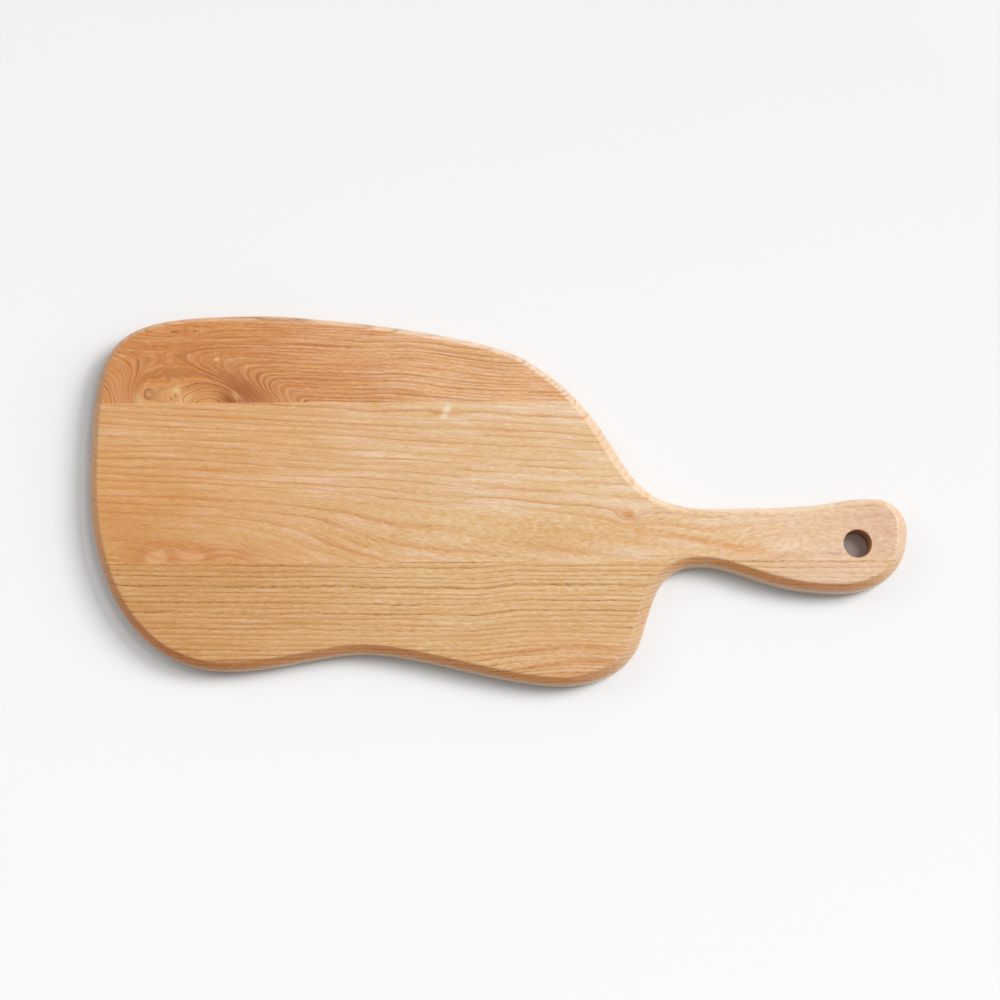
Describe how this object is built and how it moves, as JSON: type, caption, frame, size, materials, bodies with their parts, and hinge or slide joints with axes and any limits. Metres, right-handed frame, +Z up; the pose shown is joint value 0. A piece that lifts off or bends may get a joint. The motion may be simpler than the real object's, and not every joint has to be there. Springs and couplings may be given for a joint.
{
  "type": "paddle serving board",
  "caption": "Wooden paddle serving board of edge-glued staves, with a lopsided blade, a bevelled upper edge and a swelling handle drilled with a hanging hole.",
  "frame": {"origin": "on the underside, at the middle of the board's length and width", "axes": "+X along the board towards the end of the handle, +Y towards the back edge, +Z up out of the serving face"},
  "size_m": [0.559, 0.258, 0.019],
  "materials": {
    "back_stave_ash": "planed and oiled ash, satin, reddish tan",
    "middle_stave_ash": "planed and oiled ash, satin, pale tan",
    "front_stave_ash": "planed and oiled ash, satin, light tan with dark pores",
    "wood_glue": "cured wood glue, pale amber, planed flush and oiled over"
  },
  "bodies": {
    "root": {"back_stave": "back_stave_ash", "back_glue_line": "wood_glue", "middle_stave": "middle_stave_ash", "front_glue_line": "wood_glue", "front_stave": "front_stave_ash"}
  },
  "joints": []
}
